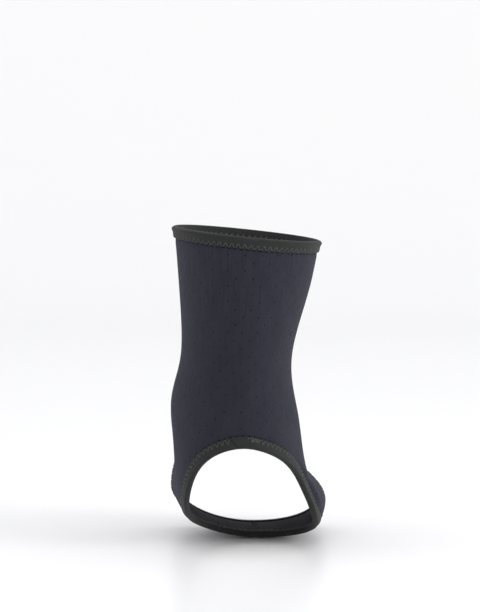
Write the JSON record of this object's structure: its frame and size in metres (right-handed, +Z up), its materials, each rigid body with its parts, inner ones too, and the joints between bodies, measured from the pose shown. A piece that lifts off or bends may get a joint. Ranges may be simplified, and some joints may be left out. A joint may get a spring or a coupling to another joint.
{
  "type": "ankle brace",
  "caption": "Slip-on foam-rubber ankle sleeve in its worn shape, with an open heel and folded tape sewn over its leg, foot and heel edges.",
  "frame": {"origin": "centre of the ankle joint, in the hollow of the sleeve, where the leg and foot hold the brace up", "axes": "+Z up along the leg, +Y to the toes, +X to the outer side of the right foot"},
  "size_m": [0.086, 0.1428, 0.1727],
  "materials": {
    "knit_foam": "matt knit face on perforated foam rubber, blue-black",
    "edge_tape": "matt woven stretch tape, grey-black"
  },
  "bodies": {
    "root": {"sleeve": "knit_foam", "leg_binding": "edge_tape", "foot_binding": "edge_tape", "heel_binding": "edge_tape"}
  },
  "joints": []
}
